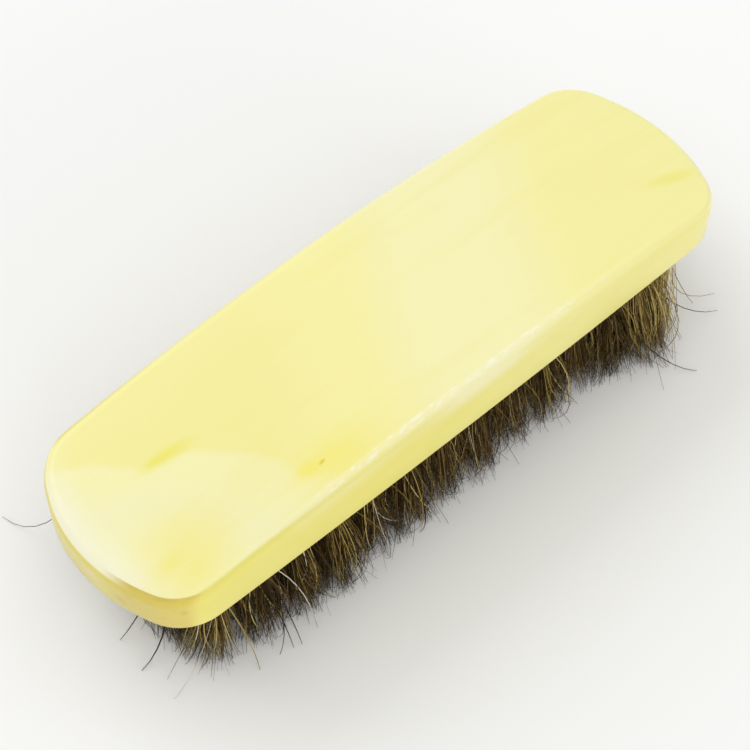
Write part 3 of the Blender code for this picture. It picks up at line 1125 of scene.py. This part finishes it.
def tip_places(rng, name, centre, ends):
    """Where the ends of the hairs meet the floor, some of them drawn together in clumps."""
    lean = lean_of(rng, name, centre)
    reach = np.linalg.norm(ends, axis=2, keepdims=True)
    square = reach / np.abs(ends).max(axis=2, keepdims=True)
    spread = ends * (1 + SQUARE_SHARE * (square - 1)) * TIP_PITCH * FAN_SHARES / 2
    middle = spread[:, rng.integers(0, FOLDED_HAIRS, CLUMPS)].reshape(-1, 2)
    apart = np.linalg.norm(spread[:, :, None] - middle[None, None], axis=-1)
    nearest = (middle + rng.normal(0, CLUMP_DRIFT, middle.shape))[apart.argmin(-1)]
    pull = CLUMP_SHARE * rng.random(spread.shape[:2])[..., None]
    spread = spread + pull * (nearest - spread) + rng.normal(0, TIP_SCATTER, spread.shape)
    tangled = rng.random(spread.shape[:2]) < TANGLED_HAIR_SHARE
    spread = np.where(tangled[..., None], spread[:, rng.permutation(FOLDED_HAIRS)], spread)
    wild = rng.random(spread.shape[:2]) < WILD_HAIR_SHARE
    spread[wild] += rng.normal(0, WILD_SCATTER, (wild.sum(), 2))
    tips = centre + lean + spread
    tips[..., 0] -= RIGHT_END_PULL * np.maximum(tips[..., 0] - RIGHT_END_LIMIT, 0)
    return tips


def hair_tones(rng, name, centre, ends):
    """Mostly dark and brown hairs, some olive and golden and a few grey, with one lighter lock."""
    shares, lows, highs = np.array(HAIR_KINDS).T
    kinds = rng.choice(len(HAIR_KINDS), FOLDED_HAIRS, p=shares)
    tones = lows[kinds] + (highs - lows)[kinds] * rng.random(FOLDED_HAIRS)
    apart = np.linalg.norm(ends - rng.normal(0, LOCK_PLACE_SCATTER, 2), axis=1)
    lock = LOCK_LIFT * rng.random() ** 2 * np.exp(-((apart / LOCK_REACH) ** 2))
    lift = SEEN_LIFTS.get(name, 0) + PALE_END_LIFT * max(0, centre[0] / LAST_HOLE[0])
    lift = lift * (rng.random(FOLDED_HAIRS) < LIFTED_SHARE)
    lifted = np.clip(tones + lock + lift, 0, LIGHTEST_GOLD)
    tones = np.where(tones < FIRST_GREY, lifted, tones)
    return tones[np.arange(FOLDED_HAIRS) % MAPPED_HAIRS]


def bristle(rng, centre, underside, ends, tips):
    """Points along each hair from the hole's mouth to its tip, bowed most half-way, curled at the tip."""
    count = len(ends)
    reach = LAST_HOLE[0] - TIP_PITCH[0]
    at_left, at_right = centre[0] < -reach, centre[0] > reach
    at_edge = at_left or at_right or abs(centre[1]) > LAST_HOLE[1] / 2
    power = np.full(2, EDGE_BEND_POWER if at_edge else INNER_BEND_POWER)
    if at_right:
        power[0] = RIGHT_END_BEND_POWER
    share = np.linspace(0, 1, HAIR_STEPS + 1)[None, :, None]
    roots = (centre + ends * BUNDLE_RADIUS)[:, None]
    unruly = rng.random((count, 1, 1)) < UNRULY_HAIR_SHARE
    bow = rng.normal(0, 1, (count, 1, 2)) * np.where(unruly, UNRULY_BOW, HAIR_BOW)
    if at_left:
        bow = bow * LEFT_BOW_SHARE
    if at_right:
        bow[..., 0] = -np.abs(bow[..., 0])
    bow = bow * 4 * share * (1 - share)
    curl = rng.normal(0, TIP_CURL, (count, 1, 2)) * share**CURL_POWER
    plan = roots + (tips[:, None] - roots) * share**power + bow + curl
    short = rng.random(count) < SHORT_HAIR_SHARE
    end_height = HAIR_RADIUS + short * rng.exponential(SHORTENING, count)
    height = underside - (underside - end_height[:, None]) * share[..., 0]
    return np.concatenate([plan, np.broadcast_to(height[..., None], (count, share.shape[1], 1))], axis=2)


def stray_path(root, halfway, tip):
    """Points along a smooth bend from a root through a place half-way to a tip."""
    share = np.linspace(0, 1, HAIR_STEPS + 1)[:, None]
    stops = (0, STRAY_HALFWAY, 1)
    path = 0
    for stop, place in zip(stops, (root, halfway, tip)):
        others = [other for other in stops if other != stop]
        path = path + np.array(place) * math.prod((share - other) / (stop - other) for other in others)
    path[:, 2] = np.maximum(path[:, 2], 2 * HAIR_RADIUS)
    return path


def folded(ends, depth):
    """Points along each hair inside its hole: up one side of the staple, over it and down the other."""
    first, second = ends * BUNDLE_RADIUS
    layer = np.abs(ends[0][:, 1])
    crest = depth - HAIR_RADIUS - FOLD_STACK * (1 - layer)
    up = np.stack([*(first * (1 + FOLD_SHARE) / 2).T, crest / 2], 1)
    turn_in = np.stack([*(first * FOLD_SHARE).T, crest - FOLD_SHARE * BUNDLE_RADIUS * layer], 1)
    top = np.stack([first[:, 0] * FOLD_SHARE, 0 * crest, crest], 1)
    turn_out = np.stack([*(second * FOLD_SHARE).T, turn_in[:, 2]], 1)
    down = np.stack([*(second * (1 + FOLD_SHARE) / 2).T, up[:, 2]], 1)
    return np.stack([up, turn_in, top, turn_out, down], axis=1)


def tubes(paths, widths, depths, sides, reference):
    """Closed tubes along paths: their points, their faces and the faces' places on the map.

    The widths are measured square to the reference direction, and the depths square to the widths.
    """
    count, length = paths.shape[:2]
    tangent = np.gradient(paths, axis=1)
    tangent /= np.linalg.norm(tangent, axis=2, keepdims=True)
    across = np.cross(tangent, reference)
    across /= np.linalg.norm(across, axis=2, keepdims=True)
    upward = np.cross(tangent, across)
    turn = np.arange(sides) * 2 * math.pi / sides
    ring = across[:, :, None] * (np.cos(turn)[:, None] * widths[..., None, None])
    ring = ring + upward[:, :, None] * (np.sin(turn)[:, None] * depths[..., None, None])
    verts = (paths[:, :, None] + ring).reshape(-1, 3)
    number = np.arange(count * length * sides).reshape(count, length, sides)
    after = np.roll(number, -1, axis=2)
    quads = np.stack([number[:, :-1], after[:, :-1], after[:, 1:], number[:, 1:]], axis=-1).reshape(-1, 4)
    starts, ends = number[:, 0, ::-1], number[:, -1]
    return verts, (quads, starts, ends), tube_maps(count, length, sides)


def tube_maps(count, length, sides):
    """Places on the map for the tubes' long faces, their starts and their ends, one column a tube."""
    column = np.arange(count) % MAPPED_HAIRS
    low = (column + COLUMN_MARGIN_SHARE) / HAIR_COLUMNS
    high = (column + 1 - COLUMN_MARGIN_SHARE) / HAIR_COLUMNS
    level = np.linspace(0, 1, length)
    u = np.stack([low, high, high, low], 1)[:, None, None]
    v = np.stack([level[:-1], level[:-1], level[1:], level[1:]], 1)[None, :, None]
    quad_map = np.stack(np.broadcast_arrays(u, v), axis=-1)
    quad_map = np.broadcast_to(quad_map, (count, length - 1, sides, 4, 2)).reshape(-1, 2)
    cap_u = np.linspace(low, high, sides, axis=1)
    bend = np.sin(np.linspace(0, math.pi, sides)) / length / 2
    cap_maps = [np.stack([cap_u, np.broadcast_to(edge, cap_u.shape)], -1) for edge in (bend, 1 - bend)]
    return quad_map, *(cap_map.reshape(-1, 2) for cap_map in cap_maps)


def staple_wire(centre, fold):
    """The staple: a short piece of flat wire across the fold, a little bent."""
    share = np.linspace(-1, 1, STAPLE_STEPS + 1)
    rise = -STAPLE_HALF_DEPTH * share**2
    path = np.stack([centre[0] + STAPLE_REACH * share, 0 * share + centre[1], fold - STAPLE_DROP + rise], 1)
    widths = np.full((1, len(share)), STAPLE_HALF_DEPTH)
    depths = np.full((1, len(share)), STAPLE_HALF_THICKNESS)
    return tubes(path[None], widths, depths, STAPLE_SIDES, ALONG_Y)


def hair_piece(name, hair_tubes, tones, alongs, staple, materials):
    """One mesh of the hairs and their staple, with each hair's tone and the way along it at every point."""
    verts, faces, maps = hair_tubes
    wire_verts, wire_faces, wire_maps = staple
    everything = [*faces, *(part + len(verts) for part in wire_faces)]
    all_verts = np.concatenate([verts, wire_verts])
    polygons = [polygon for part in everything for polygon in part.tolist()]
    mesh = bpy.data.meshes.new(name)
    mesh.from_pydata(all_verts.tolist(), [], polygons)
    hair_faces = sum(len(part) for part in faces)
    slots = np.arange(len(polygons)) >= hair_faces
    mesh.polygons.foreach_set("material_index", slots.astype(np.int32))
    places = mesh.uv_layers.new(name=HAIR_MAP)
    shift = np.array((1 - 1 / HAIR_COLUMNS, 0))
    placed = np.concatenate([*maps, *(part + shift for part in wire_maps)])
    places.data.foreach_set("uv", placed.astype(np.float32).ravel())
    for key, values in (("tone", tones), ("along", alongs)):
        layer = mesh.attributes.new(key, "FLOAT", "POINT")
        padded = np.concatenate([values, np.zeros(len(wire_verts))])
        layer.data.foreach_set("value", padded.astype(np.float32))
    mesh.shade_smooth()
    for material in materials:
        mesh.materials.append(material)
    mesh.update()
    return link_object(name, mesh)


main()
